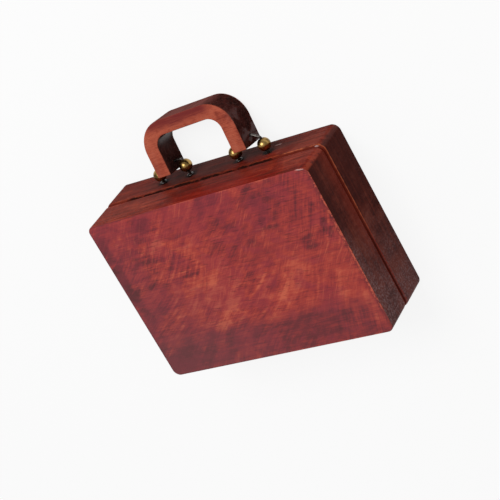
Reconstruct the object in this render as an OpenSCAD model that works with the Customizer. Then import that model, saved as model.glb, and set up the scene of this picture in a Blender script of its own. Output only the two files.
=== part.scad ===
// Small wooden case in the shape of a travelling case, with a compartment tray.
// It lies on its back panel: X runs along the handle, -Y points out through the
// handle, +Y is the hinge side and +Z goes up through the lid. Millimetres.

/* [Case] */
// Width of the tray, along the handle
case_w = 100; // [80:1:140]
// Depth of the tray, from the handle side to the hinge side
case_d = 70; // [56:1:100]
// Height of the closed case
case_h = 30; // [26:0.5:44]
// Height of the seam between tray and lid
seam_h = 15; // [14.2:0.1:18]
// Gap between tray and lid at the seam
seam_gap = 0.2; // [0.1:0.05:0.3]
// Radius of the four upright corners
corner_r = 3; // [2.6:0.1:6]
// How far the sides of the lid stand back from those of the tray
lid_setback = 0.2; // [0.2:0.1:0.6]
// Rounding of the outer edges along the seam
seam_round = 1.4; // [1.3:0.05:1.6]
// Easing of the outer edge of each panel
panel_round = 0.3; // [0.2:0.1:1]

/* [Boards] */
// Thickness of the eight rails
rail_t = 5; // [4.8:0.1:7]
// Thickness of the tray panel
tray_panel_t = 2.5; // [2:0.1:3.5]
// Thickness of the lid panel
lid_panel_t = 2.5; // [2:0.1:3.5]

/* [Compartments] */
// Thickness of the dividers
divider_t = 1.6; // [1:0.1:2.5]
// Drop of the dividers below the rim of the tray
divider_drop = 1; // [0.5:0.1:3]
// Share of the tray width on each side of the middle where a cross divider stands
cross_share = 0.17; // [0.12:0.01:0.3]
// Play of the dividers in the tray and in each other
divider_play = 0.1; // [0.05:0.05:0.2]

/* [Hinges] */
// Distance of the middle of each hinge from its end of the case
hinge_end = 22; // [18:1:28]
// Length of a hinge
hinge_l = 14; // [12:0.5:18]
// Depth of the hinge axis inside the tray's hinge side
hinge_inset = 0.9; // [0.9:0.05:1]
// Radius of the barrel
barrel_r = 0.9; // [0.8:0.05:0.95]
// Radius of the hinge pin
pin_r = 0.45; // [0.35:0.05:0.5]
// Radial play of the pin in the lid's knuckle
pin_play = 0.05; // [0.02:0.01:0.08]
// Gap between neighbouring knuckles
knuckle_gap = 0.15; // [0.1:0.05:0.3]
// Thickness of a leaf
leaf_t = 0.4; // [0.3:0.05:0.6]
// Reach of a leaf from the hinge axis
leaf_reach = 3.6; // [3.2:0.1:3.8]
// Room round a leaf and a barrel in the wood
hinge_room = 0.15; // [0.1:0.05:0.25]

/* [Nails] */
// Radius of a nail's shank
nail_r = 0.3; // [0.2:0.05:0.4]
// Radius of a nail's head
nail_head_r = 0.7; // [0.5:0.05:0.9]
// Thickness of a nail's head
nail_head_t = 0.2; // [0.1:0.05:0.25]
// Length of a nail under its head
nail_l = 2.8; // [2:0.1:4]
// Room round a nail, a magnet or a wire end in its hole
snug = 0.02; // [0.01:0.01:0.05]

/* [Magnets] */
// Radius of a catch magnet
magnet_r = 1.25; // [1:0.05:1.4]
// Thickness of a catch magnet
magnet_t = 1.2; // [0.8:0.1:2]
// Distance of each catch magnet from its end of the case
magnet_end = 14; // [12:1:22]

/* [Handle] */
// Width of the handle over its legs
handle_w = 41; // [36:0.2:46]
// Reach of the handle from its pivot to the far edge of the bar
handle_reach = 17.1; // [15:0.1:20]
// Length of the legs past the pivot, towards the case
foot = 3.3; // [2.6:0.1:3.4]
// Thickness of the board
handle_t = 11.6; // [9:0.1:11.8]
// Width of a leg
leg_w = 5.8; // [4.5:0.1:6.4]
// Width of the bar
bar_w = 5.5; // [4.5:0.1:7]
// Outer corner radius
outer_r = 10.6; // [7:0.1:12]
// Inner corner radius
inner_r = 5; // [3:0.1:7]
// Turn of the handle about the upright, from its hand-bent wires, in degrees
cant = 1.7; // [0:0.1:2]
// Distance of the pivot line from the tray's side, at its middle
pivot_gap = 7.5; // [7.4:0.1:9]
// Gap between the lowest edge of the drooping handle and the table
table_gap = 0.1; // [0.05:0.05:0.3]

/* [Wires and beads] */
// Height of the wires above the table
wire_h = 8.4; // [7.4:0.1:9]
// Radius of the wire
wire_r = 0.5; // [0.4:0.05:0.6]
// Radial play of the wire in the leg
wire_play = 0.07; // [0.02:0.01:0.1]
// Depth of a wire end in the rail
wire_depth = 3.6; // [2:0.1:4]
// Distance of a wire's bend from the side of a leg
wire_over = 0.6; // [0.5:0.05:0.8]
// Radius of a bend, at the middle of the wire
bend_r = 0.7; // [0.6:0.05:0.8]
// How much slimmer the wire is in its bends
bend_neck = 0.04; // [0.03:0.01:0.06]
// Radius of a bead
bead_r = 2.5; // [2:0.1:2.6]
// Gap between a bead and the tray
bead_gap = 0.8; // [0:0.1:0.9]
// Distance of a bead from the middle of its leg
bead_spread = 6.4; // [6.3:0.1:7.5]
// How much further out the bead at the inner end of the right wire has slipped
bead_slip = 0.8; // [0:0.1:0.9]
// Distance of a wire's bend from the far side of a bead
wire_knee = 0.5; // [0.4:0.05:0.6]

/* [Hidden] */
$fn = 64;

// Room past a face, so that a cut leaves no skin
past = 0.5;
// Tray and lid frames
tray_rail_h = seam_h - seam_gap / 2 - tray_panel_t;
lid_w = case_w - 2 * lid_setback;
lid_d = case_d - 2 * lid_setback;
lid_r = corner_r - lid_setback;
lid_rail_h = case_h - lid_panel_t - seam_h - seam_gap / 2;
// Tray hollow and dividers
hollow_w = case_w - 2 * rail_t;
hollow_d = case_d - 2 * rail_t;
divider_h = tray_rail_h - divider_drop;
cross_x = hollow_w * cross_share;
// Hinge
hinge_x = case_w / 2 - hinge_end;
hinge_y = case_d / 2 - hinge_inset;
pocket_r = barrel_r + hinge_room;
middle_knuckle = (hinge_l - 2 * knuckle_gap) * 0.36;
end_knuckle = (hinge_l - 2 * knuckle_gap - middle_knuckle) / 2;
nail_x = hinge_l * 0.3;
nail_y = -(pocket_r + leaf_reach) / 2;
// Magnets, in the flat of the handle-side rims
magnet_x = case_w / 2 - magnet_end;
magnet_y = -case_d / 2 + (lid_setback + seam_round + rail_t) / 2;
// Handle
leg_x = handle_w / 2 - leg_w / 2;
droop = asin((wire_h - table_gap) / norm([handle_reach, handle_t / 2])) - atan2(handle_t / 2, handle_reach);
// Wires and beads
bend_lap = 8;

WOOD_RED = "indianred";
WOOD_BROWN = "saddlebrown";
WOOD_DARK = "sienna";
BRASS = "goldenrod";
STEEL = "dimgray";

// Plan and edge forms

// Section of a slab from its middle line out to x = reach, its outer top corner rounded
module eased_section(reach, h, ease) {
  square([reach, h - ease]);
  square([reach - ease, h]);
  translate([reach - ease, h - ease]) circle(ease);
}

// Straight run of a slab, along Y, with both long edges rounded
module eased_run(w, length, h, ease) {
  rotate([90, 0, 0])
    linear_extrude(length, center = true)
      for (s = [0, 1]) mirror([s, 0]) eased_section(w / 2, h, ease);
}

// Slab that stands on z = 0, with round upright corners and a rounded outer top edge
module eased_slab(w, d, h, r, ease) {
  eased_run(w, d - 2 * r, h, ease);
  rotate([0, 0, 90]) eased_run(d, w - 2 * r, h, ease);
  for (sx = [-1, 1], sy = [-1, 1])
    translate([sx * (w / 2 - r), sy * (d / 2 - r), 0])
      rotate_extrude() eased_section(r, h, ease);
}

// Plan of the rail on the -Y side of a mitred frame
module long_rail_plan(w, d) {
  polygon([
    [-w / 2, -d / 2],
    [w / 2, -d / 2],
    [w / 2 - rail_t, -d / 2 + rail_t],
    [-w / 2 + rail_t, -d / 2 + rail_t],
  ]);
}

// Plan of the rail on the -X side of a mitred frame
module short_rail_plan(w, d) {
  polygon([
    [-w / 2, -d / 2],
    [-w / 2 + rail_t, -d / 2 + rail_t],
    [-w / 2 + rail_t, d / 2 - rail_t],
    [-w / 2, d / 2],
  ]);
}

// Rail of the tray frame: its plan is the child, its rim is rounded outside
module tray_rail() {
  translate([0, 0, tray_panel_t])
    intersection() {
      eased_slab(case_w, case_d, tray_rail_h, corner_r, seam_round);
      linear_extrude(tray_rail_h) children();
    }
}

// Rail of the lid frame, which hangs below the lid panel
module lid_rail() {
  translate([0, 0, case_h - lid_panel_t]) mirror([0, 0, 1])
    intersection() {
      eased_slab(lid_w, lid_d, lid_rail_h, lid_r, seam_round);
      linear_extrude(lid_rail_h) children();
    }
}

// Tray

module tray_panel() {
  color(WOOD_BROWN)
    translate([0, 0, tray_panel_t]) mirror([0, 0, 1])
      eased_slab(case_w, case_d, tray_panel_t, corner_r, panel_round);
}

module tray_rail_handle_side() {
  color(WOOD_DARK)
    difference() {
      tray_rail() long_rail_plan(case_w, case_d);
      magnet_set(seam_h - seam_gap / 2 - magnet_t, magnet_r + snug, magnet_t + past);
      for (leg = [-1, 1], side = [-1, 1])
        translate([bead_x(leg, side), -case_d / 2 - past, wire_h])
          rotate([-90, 0, 0]) cylinder(r = wire_r + snug, h = wire_depth + snug + past);
    }
}

module tray_rail_hinge_side() {
  color(WOOD_DARK)
    difference() {
      tray_rail() mirror([0, 1, 0]) long_rail_plan(case_w, case_d);
      for (s = [-1, 1]) at_hinge(s) leaf_recess();
    }
}

module tray_rail_left() {
  color(WOOD_DARK) tray_rail() short_rail_plan(case_w, case_d);
}

module tray_rail_right() {
  color(WOOD_DARK) tray_rail() mirror([1, 0, 0]) short_rail_plan(case_w, case_d);
}

// Dividers, halved into each other where they cross

module divider_long() {
  length = hollow_w - 2 * divider_play;
  color(WOOD_BROWN)
    translate([0, 0, tray_panel_t])
      difference() {
        translate([-length / 2, -divider_t / 2, 0]) cube([length, divider_t, divider_h]);
        for (s = [-1, 1])
          translate([s * cross_x - divider_t / 2 - divider_play, -divider_t, divider_h / 2])
            cube([divider_t + 2 * divider_play, 2 * divider_t, divider_h]);
      }
}

module divider_cross(s) {
  length = hollow_d - 2 * divider_play;
  color(WOOD_BROWN)
    translate([s * cross_x, 0, tray_panel_t])
      difference() {
        translate([-divider_t / 2, -length / 2, 0]) cube([divider_t, length, divider_h]);
        translate([-divider_t, -divider_t / 2 - divider_play, -past])
          cube([2 * divider_t, divider_t + 2 * divider_play, divider_h / 2 + past]);
      }
}

module divider_cross_left() {
  divider_cross(-1);
}

module divider_cross_right() {
  divider_cross(1);
}

// Lid

module lid_panel() {
  color(WOOD_RED)
    translate([0, 0, case_h - lid_panel_t])
      eased_slab(lid_w, lid_d, lid_panel_t, lid_r, panel_round);
}

module lid_rail_handle_side() {
  color(WOOD_BROWN)
    difference() {
      lid_rail() long_rail_plan(lid_w, lid_d);
      magnet_set(seam_h + seam_gap / 2 - past, magnet_r + snug, magnet_t + past);
    }
}

module lid_rail_hinge_side() {
  color(WOOD_BROWN)
    difference() {
      lid_rail() mirror([0, 1, 0]) long_rail_plan(lid_w, lid_d);
      for (s = [-1, 1]) at_hinge(s) mirror([0, 0, 1]) leaf_recess();
    }
}

module lid_rail_left() {
  color(WOOD_BROWN) lid_rail() short_rail_plan(lid_w, lid_d);
}

module lid_rail_right() {
  color(WOOD_BROWN) lid_rail() mirror([1, 0, 0]) short_rail_plan(lid_w, lid_d);
}

// Catch magnets, let in flush with the rims

module magnet_set(z, r, h) {
  for (s = [-1, 1])
    translate([s * magnet_x, magnet_y, z]) cylinder(r = r, h = h);
}

module tray_magnets() {
  color("silver") magnet_set(seam_h - seam_gap / 2 - magnet_t, magnet_r, magnet_t);
}

module lid_magnets() {
  color("silver") magnet_set(seam_h + seam_gap / 2, magnet_r, magnet_t);
}

// Butt hinges. In a hinge's own frame X is the axis, -Y points into the case
// and z = 0 is the seam. The lid's leaf is drawn turned over.

module at_hinge(s) {
  translate([s * hinge_x, hinge_y, seam_h]) children();
}

// Round bar along X, from x = start
module along_x(start, length, r) {
  translate([start, 0, 0]) rotate([0, 90, 0]) cylinder(r = r, h = length);
}

// Plate from the barrel's pocket to the leaf's far edge, flush with the rim
module leaf_plate(room) {
  translate([-hinge_l / 2 - room, -leaf_reach - room, -seam_gap / 2 - leaf_t])
    cube([hinge_l + 2 * room, leaf_reach - pocket_r + room, leaf_t]);
}

// Knuckle with the tab that joins it to the plate
module knuckle(start, length) {
  along_x(start, length, barrel_r);
  translate([start, -pocket_r, -seam_gap / 2 - leaf_t]) cube([length, pocket_r, leaf_t]);
}

module nail_places() {
  for (s = [-1, 1]) translate([s * nail_x, nail_y, -seam_gap / 2]) children();
}

module nail(room) {
  translate([0, 0, -nail_head_t]) cylinder(r = nail_head_r + room, h = nail_head_t);
  translate([0, 0, -nail_l - nail_head_t]) cylinder(r = nail_r + room, h = nail_l + nail_head_t);
}

// What a rim loses to one hinge: the leaf's bed, the barrel's pocket and two nail holes
module leaf_recess() {
  translate([-hinge_l / 2 - hinge_room, -leaf_reach - hinge_room, -seam_gap / 2 - leaf_t])
    cube([hinge_l + 2 * hinge_room, leaf_reach + hinge_room, leaf_t + past]);
  along_x(-hinge_l / 2 - hinge_room, hinge_l + 2 * hinge_room, pocket_r);
  nail_places() nail(snug);
}

module tray_leaf() {
  color(BRASS)
    difference() {
      union() {
        leaf_plate(0);
        knuckle(-hinge_l / 2, end_knuckle);
        knuckle(hinge_l / 2 - end_knuckle, end_knuckle);
      }
      along_x(-hinge_l / 2 - past, hinge_l + 2 * past, pin_r);
      nail_places() nail(snug);
    }
}

module lid_leaf() {
  color(BRASS)
    difference() {
      union() {
        mirror([0, 0, 1]) leaf_plate(0);
        mirror([0, 0, 1]) knuckle(-middle_knuckle / 2, middle_knuckle);
      }
      along_x(-hinge_l / 2 - past, hinge_l + 2 * past, pin_r + pin_play);
      mirror([0, 0, 1]) nail_places() nail(snug);
    }
}

module pin() {
  color(BRASS) along_x(-hinge_l / 2, hinge_l, pin_r);
}

module hinge_left_tray_leaf() {
  at_hinge(-1) tray_leaf();
}

module hinge_left_lid_leaf() {
  at_hinge(-1) lid_leaf();
}

module hinge_left_pin() {
  at_hinge(-1) pin();
}

module hinge_right_tray_leaf() {
  at_hinge(1) tray_leaf();
}

module hinge_right_lid_leaf() {
  at_hinge(1) lid_leaf();
}

module hinge_right_pin() {
  at_hinge(1) pin();
}

module tray_leaf_nails() {
  color(BRASS)
    for (s = [-1, 1]) at_hinge(s) nail_places() nail(0);
}

module lid_leaf_nails() {
  color(BRASS)
    for (s = [-1, 1]) at_hinge(s) mirror([0, 0, 1]) nail_places() nail(0);
}

// Handle. In its own frame the pivot line is X, the bar lies on the -Y side
// and the feet point towards the case.

// Plan that is square at the feet and round at the two far corners
module arch_plan(w, reach, back, r) {
  difference() {
    translate([-w / 2, -reach]) square([w, reach + back]);
    for (s = [-1, 1])
      translate([s * (w / 2 - r), r - reach]) mirror([s < 0 ? 1 : 0, 0]) mirror([0, 1])
        difference() {
          square(r + past);
          circle(r);
        }
  }
}

module at_handle() {
  translate([0, -case_d / 2 - pivot_gap, wire_h]) rotate([0, 0, cant]) children();
}

module handle() {
  color("peru")
    at_handle() rotate([droop, 0, 0])
      difference() {
        linear_extrude(handle_t, center = true)
          difference() {
            arch_plan(handle_w, handle_reach, foot, outer_r);
            arch_plan(handle_w - 2 * leg_w, handle_reach - bar_w, foot + past, inner_r);
          }
        along_x(-handle_w / 2 - past, handle_w + 2 * past, wire_r + wire_play);
      }
}

// Wires: each runs through one leg and bends back on both sides of it,
// through a bead, into the tray's rail.

// Point on the pivot line at a distance from the middle of the handle
function on_pivot(x) = [
  x * cos(cant),
  -case_d / 2 - pivot_gap + x * sin(cant),
  wire_h,
];

// Middle of a bead, measured along the case
function bead_x(leg, side) = on_pivot(leg * leg_x)[0] + side * bead_spread;

// Middle of a bead, measured out from the case, and the wire's bend beyond the bead
function bead_y(leg, side) = -case_d / 2 - bead_gap - bead_r - (leg == 1 && side == -1 ? bead_slip : 0);
function knee_y(leg, side) = bead_y(leg, side) - bead_r - wire_knee;

// Bearing of the run from point a to point b, and the left turn at point i of a path
function bearing(a, b) = atan2(b[1] - a[1], b[0] - a[0]);
function raw_turn(path, i) = bearing(path[i], path[i + 1]) - bearing(path[i - 1], path[i]);
function turn(path, i) = raw_turn(path, i) + (raw_turn(path, i) < 0 ? 360 : 0);

// Length that the bend at point i takes from the runs on both sides of it
function trim(path, i) = i == 0 || i == len(path) - 1 ? 0 : bend_r * tan(turn(path, i) / 2);

// Wire along a level path that only turns left: round runs, joined by round bends.
// The bends are a little slimmer and reach into the runs.
module bent_wire(path) {
  for (i = [0 : len(path) - 2]) {
    way = bearing(path[i], path[i + 1]);
    translate(path[i] + trim(path, i) * [cos(way), sin(way), 0])
      rotate([0, 90, way])
        cylinder(r = wire_r, h = norm(path[i + 1] - path[i]) - trim(path, i) - trim(path, i + 1));
  }
  for (i = [1 : len(path) - 2]) {
    way = bearing(path[i - 1], path[i]);
    translate(path[i] - trim(path, i) * [cos(way), sin(way), 0] + bend_r * [-sin(way), cos(way), 0])
      rotate([0, 0, way - 90 - bend_lap])
        rotate_extrude(angle = turn(path, i) + 2 * bend_lap)
          translate([bend_r, 0]) circle(wire_r - bend_neck);
  }
}

module wire(leg) {
  root_y = -case_d / 2 + wire_depth;
  color(STEEL)
    bent_wire([
      [bead_x(leg, -1), root_y, wire_h],
      [bead_x(leg, -1), knee_y(leg, -1), wire_h],
      on_pivot(leg * leg_x - leg_w / 2 - wire_over),
      on_pivot(leg * leg_x + leg_w / 2 + wire_over),
      [bead_x(leg, 1), knee_y(leg, 1), wire_h],
      [bead_x(leg, 1), root_y, wire_h],
    ]);
}

module wire_left() {
  wire(-1);
}

module wire_right() {
  wire(1);
}

module bead(leg, side) {
  color(BRASS)
    translate([bead_x(leg, side), bead_y(leg, side), wire_h]) rotate([90, 0, 0])
      difference() {
        sphere(bead_r);
        cylinder(r = wire_r + snug, h = 2 * bead_r + past, center = true);
      }
}

module bead_left_outer() {
  bead(-1, -1);
}

module bead_left_inner() {
  bead(-1, 1);
}

module bead_right_inner() {
  bead(1, -1);
}

module bead_right_outer() {
  bead(1, 1);
}

tray_panel();
tray_rail_handle_side();
tray_rail_hinge_side();
tray_rail_left();
tray_rail_right();
divider_long();
divider_cross_left();
divider_cross_right();
lid_panel();
lid_rail_handle_side();
lid_rail_hinge_side();
lid_rail_left();
lid_rail_right();
tray_magnets();
lid_magnets();
hinge_left_tray_leaf();
hinge_left_lid_leaf();
hinge_left_pin();
hinge_right_tray_leaf();
hinge_right_lid_leaf();
hinge_right_pin();
tray_leaf_nails();
lid_leaf_nails();
handle();
wire_left();
wire_right();
bead_left_outer();
bead_left_inner();
bead_right_inner();
bead_right_outer();
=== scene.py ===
"""Small stained-wood case, lying on its back on a white table.

The CAD frame gives every place and size. The classes below model the wooden boards, the
handle and its hanging around that frame, and dress them and the inner fittings. Lengths
are millimetres in the frame's own axes: X runs along the handle, -Y points out through
it, +Y is the hinge side and +Z goes up through the lid. Finished meshes are in metres,
with their objects at the origin.
"""

import logging
import math
from dataclasses import dataclass
from enum import Enum
from functools import reduce
from typing import Callable, Sequence

import bmesh
import bpy
from mathutils import Matrix, Vector


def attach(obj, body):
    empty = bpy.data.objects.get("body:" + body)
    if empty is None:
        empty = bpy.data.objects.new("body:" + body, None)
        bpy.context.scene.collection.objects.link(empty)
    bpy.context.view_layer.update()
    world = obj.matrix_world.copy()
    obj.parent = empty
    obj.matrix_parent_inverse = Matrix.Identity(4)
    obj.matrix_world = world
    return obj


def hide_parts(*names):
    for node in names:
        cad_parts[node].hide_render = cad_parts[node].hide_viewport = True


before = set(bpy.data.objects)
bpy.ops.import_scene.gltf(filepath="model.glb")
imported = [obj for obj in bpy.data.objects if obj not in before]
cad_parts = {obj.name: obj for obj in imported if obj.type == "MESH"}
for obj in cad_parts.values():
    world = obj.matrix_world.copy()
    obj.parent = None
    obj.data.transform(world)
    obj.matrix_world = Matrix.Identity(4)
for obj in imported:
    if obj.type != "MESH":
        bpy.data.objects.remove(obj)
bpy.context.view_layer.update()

LOG = logging.getLogger("case")
MM = 0.001
SAME = 0.01  # slack when places are compared, in millimetres
WELD = 1e-7  # distance at which vertices merge, in metres
CLEAR = 1  # how far a tool reaches past what it cuts, in millimetres
DEEP = 60  # stretch along an axis on which a pattern stays the same

Triple = tuple[float, float, float]


def srgb(*channels: float) -> tuple[float, ...]:
    """Turn a colour written as 0 to 255 into the linear one, with alpha, that a shader takes."""
    shares = [channel / 255 for channel in channels]
    return (*(s / 12.92 if s <= 0.04045 else ((s + 0.055) / 1.055) ** 2.4 for s in shares), 1.0)


# Shader graphs


class Value:
    """A node's output that takes part in Python arithmetic."""

    def __init__(self, graph: "Graph", socket: bpy.types.NodeSocket) -> None:
        """Wrap one output socket of a graph."""
        self.graph = graph
        self.socket = socket

    def _math(self, operation: str, *terms: "Value | float") -> "Value":
        """Add one Math node."""
        return self.graph.node("Math", {"operation": operation}, dict(enumerate(terms)))

    def __add__(self, other: "Value | float") -> "Value":
        """Sum."""
        return self._math("ADD", self, other)

    def __sub__(self, other: "Value | float") -> "Value":
        """Difference."""
        return self._math("SUBTRACT", self, other)

    def __rsub__(self, other: float) -> "Value":
        """Difference from a number, as in 1 - mask."""
        return self._math("SUBTRACT", other, self)

    def __mul__(self, other: "Value | float") -> "Value":
        """Product."""
        return self._math("MULTIPLY", self, other)

    __radd__ = __add__
    __rmul__ = __mul__

    def either(self, other: "Value | float") -> "Value":
        """The greater of the two."""
        return self._math("MAXIMUM", self, other)

    def both(self, other: "Value | float") -> "Value":
        """The lesser of the two."""
        return self._math("MINIMUM", self, other)

    def size(self) -> "Value":
        """Value without its sign."""
        return self._math("ABSOLUTE", self)

    def rise(self, low: float, high: float) -> "Value":
        """Smooth step from 0 at low to 1 at high. A falling step has low above high."""
        ends = (low, high, 0.0, 1.0) if low < high else (high, low, 1.0, 0.0)
        return self.graph.node("MapRange", {"interpolation_type": "SMOOTHSTEP"},
                               dict(enumerate((self, *ends))))


Input = Value | float | Sequence[float]


class Graph:
    """Node tree of one material, with Object coordinates in millimetres."""

    def __init__(self, name: str) -> None:
        """Start a material.

        Args:
            name: Its name.
        """
        self.material = bpy.data.materials.new(name)
        self.material.use_nodes = True
        self.tree = self.material.node_tree
        self.tree.nodes.clear()
        self.normal = self.node("TexCoord", {}, {}, "Normal")
        self.place = self.node("VectorMath", {"operation": "SCALE"},
                               {0: self.node("TexCoord", {}, {}, "Object"), 3: 1 / MM})
        self.x, self.y, self.z = self.parts(self.place)

    def node(self, kind: str, settings: dict, inputs: dict, output: int | str = 0) -> Value:
        """Add one node.

        Args:
            kind: The node's type, without its prefix.
            settings: Its attributes, and a ramp's stops.
            inputs: Values, colours or other nodes' outputs by socket.
            output: The output that is wanted.

        Returns:
            That output, where the node has any.
        """
        made = self.tree.nodes.new("ShaderNode" + kind)
        for name, setting in settings.items():
            if name == "stops":
                ramp = made.color_ramp.elements
                while len(ramp) < len(setting):
                    ramp.new(1.0)
                for element, (place, colour) in zip(ramp, setting):
                    element.position, element.color = place, colour
            else:
                setattr(made, name, setting)
        for key, given in inputs.items():
            if isinstance(given, Value):
                self.tree.links.new(given.socket, made.inputs[key])
            else:
                made.inputs[key].default_value = given
        return Value(self, made.outputs[output] if made.outputs else None)

    def parts(self, vector: Value) -> tuple[Value, Value, Value]:
        """Split a vector into X, Y and Z."""
        split = self.node("SeparateXYZ", {}, {0: vector}).socket.node
        return tuple(Value(self, split.outputs[axis]) for axis in "XYZ")

    def along(self, size: Triple, turn: float = 0.0, shift: Triple = (0, 0, 0),
              source: Value | None = None) -> Value:
        """Place in a shifted frame, turned about Z in degrees and stretched so size is 1."""
        return self.node("Mapping", {"vector_type": "TEXTURE"},
                         {"Vector": source or self.place, "Location": shift,
                          "Rotation": (0, 0, math.radians(turn)), "Scale": size})

    def local(self, place: Matrix) -> Value:
        """Place in the axes of a piece that was moved by a matrix, in millimetres."""
        return self.node("Mapping", {"vector_type": "TEXTURE"},
                         {"Vector": self.place, "Location": place.translation / MM,
                          "Rotation": place.to_euler()})

    def warp(self, source: Value, scale: float, amount: float) -> Value:
        """Push a place about by soft noise of some millimetres, so that strokes curve."""
        push = self.node("VectorMath", {"operation": "SUBTRACT"}, {
            0: self.node("TexNoise", {}, {"Vector": source, "Scale": scale, "Detail": 1.0}, 1),
            1: (0.5, 0.5, 0.5)})
        return self.node("VectorMath", {"operation": "MULTIPLY_ADD"},
                         {0: push, 1: (amount, amount, amount), 2: source})

    def noise(self, vector: Value, scale: float, detail: float, rough: float,
              bend: float = 0.0) -> Value:
        """Cloudy noise from 0 to 1."""
        return self.node("TexNoise", {}, {"Vector": vector, "Scale": scale, "Detail": detail,
                                          "Roughness": rough, "Distortion": bend})

    def grain(self, size: Triple, detail: float, rough: float, bend: float = 0.0,
              turn: float = 0.0, source: Value | None = None) -> Value:
        """Noise that is stretched and turned."""
        return self.noise(self.along(size, turn, source=source), 1.0, detail, rough, bend)

    def ramp(self, position: Value, *stops: tuple) -> Value:
        """Colour ramp with stops that are pairs of a place and a colour."""
        return self.node("ValToRGB", {"stops": stops}, {0: position})

    def mix(self, below: Input, above: Input, share: Input) -> Value:
        """Blend two colours by a mask."""
        return self.node("Mix", {"data_type": "RGBA"}, {0: share, 6: below, 7: above}, 2)

    def layers(self, colour: Value, *coats: tuple) -> Value:
        """Lay colours over one another, given as pairs of a colour and its mask."""
        return reduce(lambda below, coat: self.mix(below, *coat), coats, colour)

    def shade(self, colour: Value, share: Value, low: float, high: float) -> Value:
        """Darken or lighten a colour by a factor that runs from low to high with share."""
        return self.node("VectorMath", {"operation": "SCALE"},
                         {0: colour, 3: share * (high - low) + low})

    def patch(self, centre: Triple, reach: Triple, ragged: Value, turn: float = 0.0) -> Value:
        """Ragged patch, 1 in its middle, given by its half sizes and its turn about Z."""
        away = self.node("VectorMath", {"operation": "LENGTH"},
                         {0: self.along(reach, turn, centre)}, 1)
        return (away + (ragged - 0.5) * 1.6).rise(1.2, 0.5)

    def finish(self, colour: Value, rough: Input, height: Value, depth: float, coat: Input = 0.0,
               metal: float = 0.0, coat_rough: float = 0.2,
               specular: float = 0.5) -> bpy.types.Material:
        """Close the graph with a Principled surface.

        Args:
            colour, rough: Base colour and roughness.
            height, depth: Relief from 0 to 1, and its depth in millimetres.
            coat, coat_rough: Weight and roughness of the varnish.
            metal, specular: 1 on metal, and the specular level.

        Returns:
            The material.
        """
        bump = self.node("Bump", {}, {"Strength": 1.0, "Distance": depth * MM, "Height": height})
        surface = {"Base Color": colour, "Roughness": rough, "Metallic": metal, "Normal": bump,
                   "Coat Weight": coat, "Coat Roughness": coat_rough,
                   "Specular IOR Level": specular}
        return self.close(self.node("BsdfPrincipled", {}, surface))

    def close(self, surface: Value) -> bpy.types.Material:
        """Join a surface to the output, and return the material."""
        self.node("OutputMaterial", {}, {"Surface": surface})
        return self.material


class Run(Enum):
    """Direction of a board's grain."""

    ALONG_X = "x"
    ALONG_Y = "y"

    def grain(self, length: float, width: float) -> Triple:
        """Stretch of the grain's noise, in millimetres."""
        return (length, width, width) if self is Run.ALONG_X else (width, length, width)


# Finishes


@dataclass(frozen=True)
class SideStain:
    """Stain of the upright sides: dark, with dust and a painted sheen, all round; warm and red
    below the handle.
    """

    dark: tuple = srgb(62, 27, 24)
    base: tuple = srgb(88, 38, 31)
    brown: tuple = srgb(108, 50, 38)
    warm_dark: tuple = srgb(92, 32, 25)
    warm: tuple = srgb(124, 38, 28)
    # lightest stain tone, also the painted highlight on the lit rounded corners
    glow: tuple = srgb(150, 57, 36)
    crimson: tuple = srgb(126, 25, 18)
    rose: tuple = srgb(150, 77, 63)
    # rim line: some wear, mostly a painted highlight on the lit rounding
    worn: tuple = srgb(178, 86, 48)
    # painted warm light on the lit roundings at the seam and along the rim
    painted_warm_light: tuple = srgb(128, 42, 27)
    # dust, partly a painted sheen
    dust_and_sheen: tuple = srgb(134, 106, 106)
    # painted shade of the handle on the tray's face
    handle_shade: tuple = srgb(70, 40, 35)
    # painted shade in the seam, and the dark glue round the wires
    shade_and_glue_black: tuple = srgb(24, 13, 11)
    # painted highlight colour for small varnish glints
    glint: tuple = srgb(216, 182, 178)
    raw: tuple = srgb(172, 124, 80)
    raw_deep: tuple = srgb(122, 78, 46)
    raw_pale: tuple = srgb(186, 140, 94)
    seam: float = 15.0
    half_width: float = 50.0
    half_depth: float = 35.0
    board: float = 5.0
    red_area: tuple = ((-12, -35, 27.5), (27, 30, 5.5))
    # rosy tone, partly a painted sheen
    rosy_and_sheen_area: tuple = ((40, -35, 20), (26, 30, 16))
    # where the handle's painted shade lies on the tray
    handle_shade_area: tuple = ((-3, -35, 6), (37, 30, 9.5))
    pale_end: tuple = ((-42, -35, 13), (7.5, 30, 14))
    dark_spot: tuple = ((-33, -35, 25.5), (2.6, 30, 1.5))
    # two painted glints on the handle side
    glints: tuple = (((-47.2, -35, 14.5), (0.9, 3, 0.22)), ((-26.8, -35, 4.6), (1.7, 3, 0.22)))


class Painter:
    """Lays colours on one piece, each over the last."""

    def __init__(self, g: Graph, ragged: Value) -> None:
        """Start on a graph, with a noise that breaks up outlines."""
        self.g = g
        self.ragged = ragged

    def lay(self, *coats: tuple) -> None:
        """Lay coats, given as pairs of a colour and its mask."""
        self.colour = self.g.layers(self.colour, *coats)


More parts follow.
